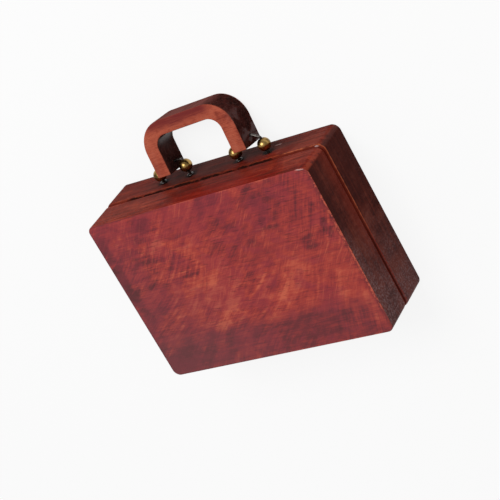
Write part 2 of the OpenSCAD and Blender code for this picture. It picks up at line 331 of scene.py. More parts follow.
class SidePainter(Painter):
    """Paints the upright sides of a piece with the stain."""

    def __init__(self, g: Graph, ragged: Value, stain: SideStain, run: Run) -> None:
        """Set up the noises, and the masks for where a side faces and how high it is.

        Args:
            g: Graph of the piece.
            ragged: Noise for worn outlines.
            stain: Colours and places.
            run: Direction of the grain.
        """
        super().__init__(g, ragged)
        self.stain, self.run = stain, run
        nx, ny, _ = g.parts(g.normal)
        out = ny * -1
        self.tray = g.z.rise(stain.seam, stain.seam - 1)
        self.lid = g.z.rise(stain.seam - 1, stain.seam)
        self.front = out.rise(0.25, 0.8) * self.lid + out.rise(0.72, 0.98) * (1 - self.lid)
        self.others = 1 - self.front
        self.corner = nx.size().both(out.either(0.0)).rise(0.3, 0.6)
        self.dusty = (nx.size() + ny.either(0.0) * 0.62).rise(0.4, 0.8)
        self.grain = g.grain(run.grain(20, 1.1), 5, 0.62, 0.3)
        self.pores = g.grain(run.grain(5.0, 0.3), 3, 0.6)
        self.cloud = g.noise(g.place, 0.11, 4, 0.6, 0.3)
        self.mottle = g.noise(g.along((1.0, 1.0, 1.7)), 0.55, 4, 0.68, 0.4)

    def paint(self) -> tuple[Value, Value, Value]:
        """Paint the sides.

        Returns:
            The colour, the relief and the weight of the varnish.
        """
        g, stain = self.g, self.stain
        self._ground()
        self._weather()
        # painted highlight on the lit rounded corners, mostly on the lid
        arris = self.corner * (self.lid * 0.75 + 0.1) * self.ragged.rise(0.38, 0.54)
        edge = self._edge()
        # painted highlight: the rim line, in painted warm light and the worn colour
        self.lay((stain.glow, arris), (g.mix(stain.painted_warm_light, stain.worn, g.y.rise(8, -8)), edge))
        self._groove()
        # painted highlights: small varnish glints
        self.lay(*((stain.glint, g.patch(*spot, self.ragged) * 0.6) for spot in stain.glints))
        self._inside()
        gloss = self.corner * 0.15 + edge * 0.3 + self.mottle.rise(0.54, 0.66) * 0.03
        return self.colour, self.grain * 0.4 + self.pores * 0.3 + self.mottle * 0.3, gloss

    def _ground(self) -> None:
        """Stain all sides: crimson, rosy (partly a painted sheen) and painted handle shade below
        the handle, dark elsewhere.
        """
        g, stain = self.g, self.stain
        tone = self.grain * 0.36 + self.cloud * 0.36 + self.mottle * 0.28
        cool = g.ramp(tone, (0.41, stain.dark), (0.50, stain.base), (0.60, stain.brown))
        self.colour = g.ramp(tone, (0.40, stain.warm_dark), (0.50, stain.warm), (0.62, stain.glow))
        smear = g.grain((9, 9, 1.6), 4, 0.6, 0.5)
        darkened = g.patch(*stain.handle_shade_area, smear) * self.tray
        clear = g.x.rise(2, -16) * g.z.rise(7.5, 10.5)
        dull = self.tray * (0.55 - clear * g.x.rise(-34, -24) * 0.4)
        smears = smear.rise(0.54, 0.64) * g.x.rise(34, 22)
        self.lay(
            (stain.crimson, g.patch(*stain.red_area, smear) * 0.62),
            # rosy tone, partly a painted sheen
            (stain.rose, g.patch(*stain.rosy_and_sheen_area, smear) * 0.28),
            (stain.warm_dark, dull.either(g.patch(*stain.dark_spot, self.ragged) * 0.7)),
            # painted shade: the tray's face darkened behind the handle
            (stain.handle_shade, darkened * (0.78 - clear * 0.66)),
            (stain.rose, g.patch(*stain.pale_end, smear) * (self.tray * 0.08 + 0.26)),
            (stain.warm_dark, smears * (self.ragged * 0.5 + 0.4)))
        streaks = (self.grain * 0.6 + self.pores * 0.4).rise(0.38, 0.62)
        self.colour = g.mix(cool, g.shade(self.colour, streaks, 0.75, 1.25), self.front)
        self.lay((stain.warm_dark, self.pores.rise(0.58, 0.74) * 0.5))

    def _weather(self) -> None:
        """Dust the sides, partly as a painted sheen, and darken them below the lid's top and at the
        handle's end.
        """
        g, stain = self.g, self.stain
        speck = g.noise(g.place, 1.2, 3, 0.75)
        height = g.z.rise(24, 28)
        reach = (g.y + (self.cloud - 0.5) * 34 + height * 16).rise(-8, 34)
        stripe = g.y.rise(15, 19) * g.y.rise(24, 20) * self.tray
        darkened = height * g.y.rise(0, -14) * g.y.rise(-34.9, -33.5)
        lower = g.z.rise(stain.seam, stain.seam - 2) * g.y.rise(2, -20)
        self.lay(
            # grey dust, partly a painted sheen
            (stain.dust_and_sheen, reach * self.dusty * (speck.rise(0.44, 0.66) * 0.6 + 0.17)),
            (stain.brown, stripe * self.dusty * 0.4),
            (stain.dark, (darkened * 0.8).either(lower * 0.55) * self.dusty))

    def _edge(self) -> Value:
        """Find the line along the tray's rim: a painted highlight where its rounding catches the
        light, with some wear.

        Returns:
            Its mask, strongest at the two handle-side corners.
        """
        g = self.g
        length = g.grain((7, 7, 30), 5, 0.78)
        off = (g.z - (self.stain.seam - 0.85) + self.front * 0.3).size()
        line = (off + (self.ragged - 0.5) * 0.6).rise(0.3, 0.04)
        strong = (g.x.rise(-24, -36) * 0.7 + 0.3) * self.front + self.others * 0.85
        return line * (length.rise(0.40, 0.56) + self.others * 0.55).both(1.0) * strong

    def _groove(self) -> None:
        """Paint shade into the seam under the lid: a thin line all round and a broken one below the
        handle, with painted warm light beside them.
        """
        g, stain, seam = self.g, self.stain, self.stain.seam
        outer = (g.x.size() - stain.half_width).either(g.y.size() - stain.half_depth)
        outer = outer.rise(-1.5, -1.2)
        jag = g.grain((2.6, 2.6, 1.2), 3, 0.7)
        toward_hinge = (g.y + (jag - 0.5) * 12).rise(-10, 8)
        toward_handle = (g.y + (self.ragged - 0.5) * 20).rise(24, -8)
        # painted warm light: the lit roundings next to the seam, and the lid's lower part towards
        # the handle
        glow = (g.z - (seam + 0.3)).size().rise(1.4, 0.6) * 0.6
        low = g.z.rise(seam + 9, seam + 2) * g.z.rise(seam - 0.4, seam)
        # painted shade in the seam: a thin dark line all round and a broken black one below the
        # handle
        line = ((g.z - (seam - 0.4)).size() + (self.ragged - 0.5) * 0.25).rise(0.26, 0.08)
        line = line * (toward_hinge * 0.5 + self.front * 0.4).both(0.9)
        wide = (g.x - 9).size().rise(16, 4) * 0.2
        seam_shade = ((g.z - (seam - 0.2)).size() + (jag - 0.5) * 1.9 - wide).rise(0.55, 0.3)
        ends = g.x.rise(42, 36) * g.x.rise(-34, -26) * g.y.rise(-32, -33)
        seam_shade = seam_shade * ends * (jag.rise(0.62, 0.5) * 0.4 + 0.5)
        warm = glow.either(low * toward_handle * 0.42) * (1 - self.front * 0.5) * outer
        self.lay((stain.painted_warm_light, warm), (stain.shade_and_glue_black, line.either(seam_shade) * outer))

    def _inside(self) -> None:
        """Lay bare wood in the hollows, with stain that crept over the rims."""
        g, stain = self.g, self.stain
        creep = g.noise(g.place, 0.7, 3, 0.6)
        side = g.x.size() - (stain.half_width - stain.board)
        wall = side.either(g.y.size() - (stain.half_depth - stain.board)) + (creep - 0.5) * 0.5
        bands = g.grain(self.run.grain(38, 1.5), 5, 0.6, 0.9, 1.5)
        fibres = g.grain(self.run.grain(6, 0.16), 3, 0.6)
        bare = g.ramp(bands, (0.36, stain.raw_deep), (0.50, stain.raw), (0.66, stain.raw_pale))
        bare = g.mix(bare, stain.raw_deep, fibres.rise(0.55, 0.72) * 0.6)
        self.lay((g.shade(bare, creep, 0.86, 1.1), wall.rise(0.25, 0.0)))


@dataclass(frozen=True)
class LidPanelFinish:
    """Crimson stain, wiped and sanded in curved strokes, on a panel with worn edges.

    A patch is a row of its middle's X and Y, its two half sizes, its turn in degrees and
    its strength.
    """

    sides: SideStain
    half_width: float = 49.8
    half_depth: float = 34.8
    top: float = 30.0
    umber: tuple = srgb(86, 43, 45)
    plum: tuple = srgb(118, 50, 54)
    crimson: tuple = srgb(154, 58, 57)
    brick: tuple = srgb(178, 71, 61)
    orange: tuple = srgb(204, 99, 76)
    berry: tuple = srgb(148, 56, 67)
    haze: tuple = srgb(126, 72, 75)
    dark_patches: tuple = (
        (24, -29.5, 6, 4, -15, 0.75), (46.5, 0, 2.6, 17, 6, 0.6), (-22.5, -19, 3.2, 1.6, 65, 0.9),
        (-25.5, -16.4, 2.8, 1.1, 0, 0.6), (-24, -28, 10, 2.6, 0, 0.5),
        (-35.5, -7, 3.4, 3.4, 20, 0.75), (-45.4, -11, 1.9, 4.6, 0, 0.95),
        (17, -6.5, 6.5, 1.6, 10, 0.55), (-8, -22, 5, 2, 0, 0.25), (-20, 25.5, 18, 6, 0, 0.62),
        (-16, 31, 20, 3.4, 0, 0.3), (12, 25.5, 9, 5, 0, 0.18), (40, 29.5, 15, 6, 0, 0.85),
        (47, -18, 2.2, 14, 0, 0.5), (30, -15, 12, 1.6, 0, 0.3))
    light_patches: tuple = (
        (9, -17.5, 9, 4.4, 35, 1), (5.5, 9.5, 6, 3.2, 20, 0.75), (-22, 5, 17, 5, 45, 0.8),
        (-14, 18, 15, 2, 8, 0.6), (-46.5, 24, 2.4, 9, 0, 0.9), (-40, 12, 12, 3, 62, 0.7),
        (-33, -24, 8, 3.4, 20, 0.4), (2, -28.5, 3, 1.2, 30, 0.5), (27, -1.5, 2, 2.6, 0, 0.45),
        (30, -11, 8, 3, 60, 0.45), (18, 12, 17, 5.5, 10, 0.3), (33.5, -33, 4.5, 1.3, 6, 0.6))
    hatched_area: tuple = ((8, -17, 30), (10, 5.5, DEEP))
    stepped_area: tuple = ((31, -18, 30), (17, 13, DEEP))
    # painted highlight at the panel's corner
    glint: tuple = ((-46.8, -34.5, 29.95), (1.7, 0.32, 0.32))

    def material(self) -> bpy.types.Material:
        """Build the finish.

        Returns:
            The material.
        """
        g = Graph("lid_panel_stain")
        ragged = g.noise(g.place, 0.45, 4, 0.65)
        face = LidPainter(g, ragged, self)
        height = face.paint()
        side, _, gloss = SidePainter(g, ragged, self.sides, Run.ALONG_X).paint()
        upright = g.parts(g.normal)[2].rise(0.85, 0.4)
        # the sides' colour on the upright faces, and a painted glint at the corner
        face.lay((side, upright), (self.sides.glint, g.patch(*self.glint, ragged, -8) * 0.6))
        varnish = ((1 - upright) * (ragged * 0.2 + 0.12)).either(gloss * 0.5)
        return g.finish(face.colour, ragged * 0.16 + 0.36, height, 0.06, coat=varnish,
                        coat_rough=0.28, specular=0.01)


class LidPainter(Painter):
    """Paints the face of the lid's panel."""

    def __init__(self, g: Graph, ragged: Value, finish: LidPanelFinish) -> None:
        """Set up clouds, curved strokes, scratches and hairs.

        Args:
            g: Graph of the panel.
            ragged: Noise for worn outlines.
            finish: Colours and places.
        """
        super().__init__(g, ragged)
        self.finish = finish
        self.where = g.noise(g.place, 0.085, 2, 0.5)
        curved = g.warp(g.place, 0.014, 22)
        low = g.grain((24, 1.9, DEEP), 4, 0.66, 0, 43, curved)
        steep = g.grain((20, 1.5, DEEP), 4, 0.66, 0, 63, curved)
        self.strokes = low + (steep - low) * g.x.rise(-14, -38)
        self.scratches = g.grain((12, 0.42, DEEP), 3, 0.6, 0, 54, curved)
        self.lengthwise = g.grain((11, 0.5, DEEP), 3, 0.66)
        self.hairs = g.grain((5, 0.3, DEEP), 2, 0.5, 0, -3, g.warp(g.place, 0.05, 3))
        self.crosswise = g.grain((0.8, 6, DEEP), 3, 0.6, 0, -27, curved)
        self.steps = g.patch(*finish.stepped_area, ragged)

    def paint(self) -> Value:
        """Paint the face.

        Returns:
            Its relief.
        """
        g, look = self.g, self.finish
        self.colour = g.ramp(self._tone(), (0.34, look.umber), (0.43, look.plum),
                             (0.50, look.crimson), (0.57, look.brick), (0.66, look.orange))
        hue = g.noise(g.along((1.4, 1.0, DEEP), 20, (31, 7, 0)), 0.11, 4, 0.62, 0.4)
        hue = hue + g.x.rise(-45, 45) * 0.1 + g.y.rise(-20, -34) * 0.06
        self.lay((look.berry, hue.rise(0.50, 0.62) * 0.42))
        self._scratch()
        self._rim()
        relief = self.strokes * 0.35 + self.scratches * 0.2 + self.lengthwise * 0.2
        return relief - self.hairs * 0.25 + self.crosswise * self.steps * 0.15

    def _tone(self) -> Value:
        """Work out how light the stain is.

        Returns:
            The place on the colour ramp.
        """
        g, look = self.g, self.finish
        cloud = g.noise(g.place, 0.075, 5, 0.62, 0.5)
        blotch = g.grain((7, 4, DEEP), 3, 0.55, 0.6, 12, g.warp(g.place, 0.2, 4))
        smear = g.grain((14, 1.6, DEEP), 4, 0.6, 0.4, 4)
        calm = self.where.rise(0.62, 0.44) * 0.65 + 0.35
        lit = (cloud - 0.5) * 0.26 + (blotch - 0.5) * 0.2 + (self.strokes - 0.5) * calm * 0.42
        lit = lit + (self.lengthwise - 0.5) * 0.20 + (smear - 0.5) * 0.18 + 0.506
        broken = self.ragged * 0.5 + self.strokes * 0.5
        for patches, amount in ((look.light_patches, 0.06), (look.dark_patches, -0.09)):
            for x, y, long, wide, turn, strength in patches:
                mask = g.patch((x, y, look.top), (long, wide, DEEP), broken, turn)
                lit = lit + mask * (strength * amount)
        lit = lit - g.y.rise(17, 24) * 0.024 - g.x.rise(41, 49) * 0.045
        lit = lit + g.x.rise(36, 14) * g.y.rise(-6, 6) * g.y.rise(20, 16) * 0.034
        return (lit - 0.5) * ((g.x + g.y * 0.5).rise(-10, 30) * 0.6 + 1) + 0.503

    def _scratch(self) -> None:
        """Lay scratches, pores, strokes across and haze."""
        g, look = self.g, self.finish
        hatch = g.patch(*look.hatched_area, self.ragged) * 0.8
        busy = self.where.rise(0.40, 0.58) * g.y.rise(22, 14) * (1 - g.x.rise(14, 26) * 0.65)
        busy = busy.either(hatch)
        dashes = (self.where.rise(0.64, 0.44) * 0.4 + 0.26).either(hatch)
        self.lay(
            (look.orange, self.scratches.rise(0.56, 0.70) * (busy * 0.5 + 0.04)),
            (look.plum, self.scratches.rise(0.44, 0.30) * (busy * 0.34 + 0.1)),
            (look.plum, self.lengthwise.rise(0.60, 0.72) * 0.5),
            (look.orange, self.lengthwise.rise(0.40, 0.28) * busy * 0.4),
            (look.umber, self.hairs.rise(0.61, 0.68) * dashes),
            (look.plum, self.crosswise.rise(0.53, 0.68) * self.steps * 0.5),
            (look.orange, self.crosswise.rise(0.44, 0.30) * self.steps * 0.35),
            (look.haze, (g.x + g.y * 0.8).rise(0, 60) * 0.36 + g.y.rise(14, 22) * 0.22))

    def _rim(self) -> None:
        """Wear the panel's edges, dark and bare in turns."""
        g, look = self.g, self.finish
        dots = g.grain((0.8, 1.3, DEEP), 3, 0.65)
        rim = (g.x.size() - look.half_width).either(g.y.size() - look.half_depth)
        right = g.x.rise(-44, -48)
        worn = (rim + (dots - 0.5) * (right * 4 + 2)).rise(-0.6, 0.0)
        spots = self.where.rise(0.42, 0.6) * (1 - g.x.rise(-6, 16) * 0.75)
        seen = (rim + (dots - 0.5) * 1.2).rise(-0.7, -0.2) * g.x.rise(8, 24)
        self.lay(
            (look.umber, (rim + dots * 2.5).rise(-0.6, 0.6) * right * 0.4),
            (look.orange, worn * spots.either(right * g.y.rise(30, 20)) * 0.8),
            (look.umber, seen * 0.55))


@dataclass(frozen=True)
class BoardFinish:
    """Stained rail or back panel, with dark glue and the beads' painted shadow where wires run in.
    """

    name: str
    sides: SideStain
    run: Run
    wire_x: tuple = ()
    wire_z: float = 8.4
    # half sizes of the dark glue and painted bead shadow round a wire
    glue_and_shade: Triple = (2.9, 1.8, 2.4)

    def material(self) -> bpy.types.Material:
        """Build the finish.

        Returns:
            The material.
        """
        g = Graph(self.name)
        front = -self.sides.half_depth
        ragged = g.noise(g.place, 0.6, 4, 0.65)
        colour, relief, gloss = SidePainter(g, ragged, self.sides, self.run).paint()
        for x in self.wire_x:
            # dark glue round the wire, with the beads' painted shadow
            glue_and_shade = g.patch((x, front, self.wire_z), self.glue_and_shade, ragged)
            colour = g.mix(colour, self.sides.shade_and_glue_black, glue_and_shade)
            gloss = gloss + g.y.rise(front - 0.05, front - 0.3) * 0.4
        return g.finish(colour, ragged * 0.15 + 0.38, relief, 0.06, coat=gloss.both(1.0),
                        coat_rough=0.18, specular=0.01)


@dataclass(frozen=True)
class HandleFinish:
    """Terracotta faces with a crimson streak, and near-black edges, under varnish."""

    lift: Matrix
    half: float
    reach: float
    bar: float
    face: tuple = srgb(174, 85, 65)
    pale: tuple = srgb(188, 99, 75)
    rose: tuple = srgb(116, 46, 46)
    line: tuple = srgb(124, 52, 42)
    edge: tuple = srgb(40, 21, 19)
    brown: tuple = srgb(76, 35, 31)
    mauve: tuple = srgb(122, 73, 68)
    # also painted light on the faces inside the opening
    inner: tuple = srgb(92, 64, 60)
    worn: tuple = srgb(176, 88, 66)
    shiny_corner: Triple = (13.4, -10.4, 0)

    def material(self) -> bpy.types.Material:
        """Build the finish.

        Returns:
            The material.
        """
        g = Graph("handle_varnish")
        own = g.local(self.lift)
        x, y, z = g.parts(own)
        out, far = y * -1, self.reach - self.bar
        ragged = g.noise(own, 1.1, 4, 0.7)
        cloud = g.noise(own, 0.16, 3, 0.5, 0.3)
        grain = g.grain((9, 0.32, 2.5), 5, 0.65, 0.2, source=own)
        pores = g.grain((1.8, 0.2, 0.8), 3, 0.6, source=own)
        sweep = g.grain((2.2, 7, 7), 3, 0.6, 0.4, source=own)
        flecks = g.grain((0.5, 1.1, 0.5), 3, 0.7, source=own)
        streak = (out - far + (cloud - 0.5) * 5 + (grain - 0.5) * 5).rise(0.9, 4.0)
        streak = streak * x.rise(-15, -10) * x.rise(19, 13)
        patch = ((x - 19.5).size() + (y + 0.5).size() * 0.6 + ragged * 3).rise(4.5, 2.5)
        face = g.ramp(grain * 0.4 + cloud * 0.6,
                      (0.36, self.line), (0.47, self.face), (0.60, self.pale))
        face = g.layers(face, (self.rose, streak * (grain.rise(0.35, 0.6) * 0.2 + 0.78)),
                        (self.rose, patch * 0.3), (self.line, pores.rise(0.54, 0.66) * 0.6),
                        (self.line, ragged.rise(0.56, 0.68) * 0.3))
        bar = out.rise(self.reach - 1.2, self.reach - 0.3) * x.rise(-16, -8)
        hollow = x.size().rise(15, 14) * out.rise(far + 0.6, far)
        level = z.size() + (ragged - 0.5) * 0.5
        arris = level.rise(self.half - 0.7, self.half - 0.4) * y.rise(-8, -13)
        colour = g.layers(g.ramp(sweep * 0.6 + ragged * 0.4, (0.42, self.edge), (0.60, self.brown)),
                          (self.inner, flecks.rise(0.52, 0.66) * 0.5),
                          (self.mauve, bar * (sweep.rise(0.3, 0.6) * 0.3 + 0.7)),
                          # painted light: the faces inside the opening are lightened where little
                          # light reaches
                          (self.inner, hollow * (sweep.rise(0.42, 0.58) * 0.5 + 0.42)),
                          (self.worn, arris * 0.55),
                          (face, level.rise(self.half - 0.42, self.half - 0.16)))
        away = g.node("VectorMath", {"operation": "DISTANCE"}, {0: own, 1: self.shiny_corner}, 1)
        legs = x.size().rise(14, 18) * out.rise(13, 9)
        gloss = sweep.rise(0.52, 0.62) * legs * 0.3 + hollow * away.rise(6.5, 3) * 0.5
        relief = grain * 0.5 + ragged * 0.25 + sweep * 0.25
        return g.finish(colour, ragged * 0.2 + 0.3, relief, 0.08, coat=gloss, coat_rough=0.16,
                        specular=0.0)


@dataclass(frozen=True)
class MetalFinish:
    """Metal with a patina in its clouds and fine scratches."""

    name: str
    bright: tuple
    dull: tuple
    rough: float
    scratch: float = 0.02

    def material(self) -> bpy.types.Material:
        """Build the finish.

        Returns:
            The material.
        """
        g = Graph(self.name)
        cloud = g.noise(g.place, 0.5, 3, 0.5, 0.2)
        fine = g.grain((1.4, 0.12, 1.4), 3, 0.6, turn=20)
        colour = g.mix(self.dull, self.bright, cloud.rise(0.30, 0.68))
        rough = fine * 0.08 + cloud * 0.12 + (self.rough - 0.1)
        return g.finish(colour, rough, fine, self.scratch, metal=1.0)


@dataclass(frozen=True)
class ThinWoodFinish:
    """Oiled, unstained thin board."""

    name: str
    run: Run
    pale: tuple = srgb(176, 128, 84)
    deep: tuple = srgb(126, 82, 50)

    def material(self) -> bpy.types.Material:
        """Build the finish.

        Returns:
            The material.
        """
        g = Graph(self.name)
        grain = g.grain(self.run.grain(16, 0.5), 5, 0.6, 0.4)
        pores = g.grain(self.run.grain(2.5, 0.12), 2, 0.5)
        colour = g.ramp(grain, (0.36, self.deep), (0.62, self.pale))
        colour = g.mix(colour, self.deep, pores.rise(0.60, 0.74) * 0.6)
        return g.finish(colour, grain * 0.15 + 0.5, grain * 0.6 + pores * 0.4, 0.04)


@dataclass(frozen=True)
class TableFinish:
    """White table top, which camera and mirrors see nearly shadowless."""

    tone: tuple = (0.9, 0.9, 0.9, 1.0)
    glow: tuple = (1.0, 1.0, 1.0, 1.0)
    lift: float = 0.86

    def material(self) -> bpy.types.Material:
        """Build the finish.

        Returns:
            The material.
        """
        g = Graph("white_table")
        rays = g.node("LightPath", {}, {}).socket.node.outputs
        seen = Value(g, rays["Is Camera Ray"])
        for kind in ("Is Glossy Ray", "Is Transmission Ray"):
            seen = seen.either(Value(g, rays[kind]))
        matt = g.node("BsdfDiffuse", {}, {"Color": self.tone})
        glow = g.node("Emission", {}, {"Color": self.glow, "Strength": 1.0})
        return g.close(g.node("MixShader", {}, {0: seen * self.lift, 1: matt, 2: glow}))


# Modelling


class Part(Enum):
    """What the bench's operators select."""

    VERTEX = "VERT"
    EDGE = "EDGE"
    FACE = "FACE"


class Piece:
    """One mesh on the bench, shaped with edit-mode operators. Points are in millimetres."""

    def __init__(self, obj: bpy.types.Object, name: str) -> None:
        """Take over the object that a primitive has just added."""
        self.obj = obj
        obj.name = obj.data.name = name

    @staticmethod
    def clear() -> None:
        """Leave edit mode and deselect everything."""
        if bpy.context.mode != "OBJECT":
            bpy.ops.object.mode_set(mode="OBJECT")
        bpy.ops.object.select_all(action="DESELECT")

    @classmethod
    def added(cls, name: str) -> "Piece":
        """Settle a fresh primitive at the origin."""
        bpy.ops.object.transform_apply(location=True, rotation=True, scale=True)
        return cls(bpy.context.view_layer.objects.active, name)

    @classmethod
    def block(cls, name: str, low: Triple, high: Triple) -> "Piece":
        """Add a box between two corners.

        Args:
            name: Its name.
            low, high: The corners.

        Returns:
            The box.
        """
        cls.clear()
        middle = [(a + b) / 2 * MM for a, b in zip(low, high)]
        size = [(b - a) * MM for a, b in zip(low, high)]
        bpy.ops.mesh.primitive_cube_add(size=1, location=middle, scale=size)
        return cls.added(name)

    @classmethod
    def rod(cls, name: str, start: Triple, end: Triple, radius: float, sides: int = 48) -> "Piece":
        """Add a round rod between two points.

        Args:
            name: Its name.
            start, end: The points.
            radius: Its radius.
            sides: Number of its flat sides.

        Returns:
            The rod.
        """
        cls.clear()
        line = Vector(end) - Vector(start)
        bpy.ops.mesh.primitive_cylinder_add(
            vertices=sides, radius=radius * MM, depth=line.length * MM,
            location=(Vector(start) + line / 2) * MM,
            rotation=line.to_track_quat("Z", "Y").to_euler())
        return cls.added(name)

    def hold(self) -> None:
        """Select and activate this piece alone, in object mode."""
        self.clear()
        self.obj.select_set(True)
        bpy.context.view_layer.objects.active = self.obj

    def edit(self, part: Part, test: Callable[..., bool] | None = None) -> None:
        """Enter edit mode with all selected, or with the vertices or edges that pass a test.

        Args:
            part: What is selected.
            test: Takes the one or two points.
        """
        self.hold()
        bpy.ops.object.mode_set(mode="EDIT")
        bpy.ops.mesh.select_mode(type=part.value)
        bpy.ops.mesh.select_all(action="DESELECT" if test else "SELECT")
        if test:
            mesh = bmesh.from_edit_mesh(self.obj.data)
            for item in mesh.edges if part is Part.EDGE else mesh.verts:
                points = item.verts if part is Part.EDGE else (item,)
                if test(*(point.co / MM for point in points)):
                    item.select_set(True)
            bmesh.update_edit_mesh(self.obj.data)

    def round_off(self, width: float, steps: int, test: Callable[..., bool]) -> "Piece":
        """Bevel the edges whose two ends pass a test.

        Args:
            width: Width of the bevel.
            steps: Its segments.
            test: Takes the ends.

        Returns:
            This piece.
        """
        self.edit(Part.EDGE, test)
        bpy.ops.mesh.bevel(offset=width * MM, offset_type="OFFSET", segments=steps, profile=0.5,
                           affect="EDGES", clamp_overlap=False)
        return self

    def slice(self, point: Triple, outward: Triple) -> None:
        """Cut off and close what lies on the outward side of a plane."""
        self.edit(Part.FACE)
        bpy.ops.mesh.bisect(plane_co=[c * MM for c in point], plane_no=outward, use_fill=True,
                            clear_outer=True, threshold=WELD)

    def modify(self, kind: str, **settings: object) -> None:
        """Apply a modifier.

        Args:
            kind: Its type.
            settings: Its attributes.
        """
        self.hold()
        modifier = self.obj.modifiers.new(kind, kind)
        for name, setting in settings.items():
            setattr(modifier, name, setting)
        bpy.ops.object.modifier_apply(modifier=modifier.name)

    def cut(self, tool: "Piece") -> None:
        """Take another piece's shape out of this one, and clear the tool away."""
        self.modify("BOOLEAN", operation="DIFFERENCE", solver="EXACT", object=tool.obj)
        tool.discard()

    def ease(self, width: float, steps: int, angle: float = 50.0) -> None:
        """Round every edge that is sharper than an angle in degrees."""
        self.modify("BEVEL", width=width * MM, segments=steps, limit_method="ANGLE",
                    angle_limit=math.radians(angle), use_clamp_overlap=True)

    def join(self, other: "Piece") -> None:
        """Take another piece in as a second shell of this object.

        Args:
            other: That piece.
        """
        self.hold()
        other.obj.select_set(True)
        bpy.ops.object.join()

    def move(self, place: Matrix) -> "Piece":
        """Put the piece in its place, with its object still at the origin.

        Args:
            place: The place.

        Returns:
            This piece.
        """
        self.hold()
        self.obj.matrix_world = place
        bpy.ops.object.transform_apply(location=True, rotation=True, scale=True)
        return self

    def copy(self, name: str, place: Matrix) -> "Piece":
        """Copy the piece, with a mesh of its own, to another place.

        Args:
            name: Name of the copy.
            place: Its place.

        Returns:
            The copy.
        """
        self.hold()
        bpy.ops.object.duplicate(linked=False)
        return Piece(bpy.context.view_layer.objects.active, name).move(place)

    def discard(self) -> None:
        """Clear the piece away once it has served."""
        bpy.data.objects.remove(self.obj)

    def dress(self, material: bpy.types.Material, smooth: float = 35.0) -> "Piece":
        """Close the mesh, shade it and give it its finish.

        Args:
            material: The finish.
            smooth: Sharpest angle that is shaded smooth, in degrees.

        Returns:
            This piece.
        """
        self.edit(Part.VERTEX)
        bpy.ops.mesh.remove_doubles(threshold=WELD)
        bpy.ops.mesh.normals_make_consistent(inside=False)
        self.hold()
        bpy.ops.object.shade_smooth_by_angle(angle=math.radians(smooth))
        self.obj.data.materials.clear()
        self.obj.data.materials.append(material)
        return self

    def fit(self, body: str, slot: str, node: str) -> None:
        """Let the piece ride on a body and stand for a CAD node.

        Args:
            body: Name of the body.
            slot: Name of the material slot; not used.
            node: Name of the node.
        """
        self.clear()
        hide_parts(node)
        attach(self.obj, body)
        LOG.info("%s rides on %s, %d faces", self.obj.name, body, len(self.obj.data.polygons))


class Side(Enum):
    """The four sides of a mitred frame: ending of the node names, and the way out."""

    HANDLE = ("handle_side", 0, -1)
    HINGE = ("hinge_side", 0, 1)
    LEFT = ("left", -1, 0)
    RIGHT = ("right", 1, 0)

    @property
    def label(self) -> str:
        """Ending of the side's node names."""
        return self.value[0]

    @property
    def run(self) -> Run:
        """Direction in which this side's rail runs."""
        return Run.ALONG_Y if self.value[1] else Run.ALONG_X


@dataclass
class Shell:
    """Tray or lid: four mitred rails round a hollow, with a rounded rim, and a panel."""

    name: str
    width: float
    depth: float
    corner: float
    rim: float
    joint: float
    outer: float
    rim_round: float = 1.4
    edge_round: float = 0.3
    board: float = 5.0
    arris: float = 0.25

    @property
    def up(self) -> int:
        """Way from the panel to the rim, 1 or -1."""
        return 1 if self.rim > self.joint else -1

    def board_to(self, end: float, name: str, rounding: float, steps: int) -> Piece:
        """Model a board from the joint to the rim or to the outside.

        Args:
            end: Height of its far face.
            name: Its name.
            rounding: Radius of that face's edge.
            steps: Segments of the edge.

        Returns:
            The board, with round corners.
        """
        w, d = self.width / 2, self.depth / 2
        low, high = sorted((self.joint, end))
        piece = Piece.block(name, (-w, -d, low), (w, d, high))
        piece.round_off(self.corner, 24, lambda a, b: abs(a.z - b.z) > 1)
        return piece.round_off(rounding, steps,
                               lambda *ends: all(abs(p.z - end) < SAME for p in ends))

    def rail(self, side: Side) -> Piece:
        """Model one rail.

        Args:
            side: Where the rail stands.

        Returns:
            The bare rail.
        """
        w, d = self.width / 2, self.depth / 2
        piece = self.board_to(self.rim, f"{self.name}_board_{side.label}", self.rim_round, 8)
        out = Vector((*side.value[1:], 0))
        piece.slice((out.x * (w - self.board), out.y * (d - self.board), 0), tuple(-out))
        for end in (-1, 1):
            along = Vector((out.y, out.x, 0)) * end
            corner = (w if (out + along).x > 0 else -w, d if (out + along).y > 0 else -d, 0)
            piece.slice(corner, tuple((along - out).normalized()))
        inner = (w if out.x else d) - self.board
        return piece.round_off(self.arris, 3, lambda *ends: all(
            abs(p.z - self.rim) < SAME and abs(p.dot(out) - inner) < SAME for p in ends))

    def panel(self, name: str) -> Piece:
        """Model the bare panel."""
        return self.board_to(self.outer, name, self.edge_round, 6)


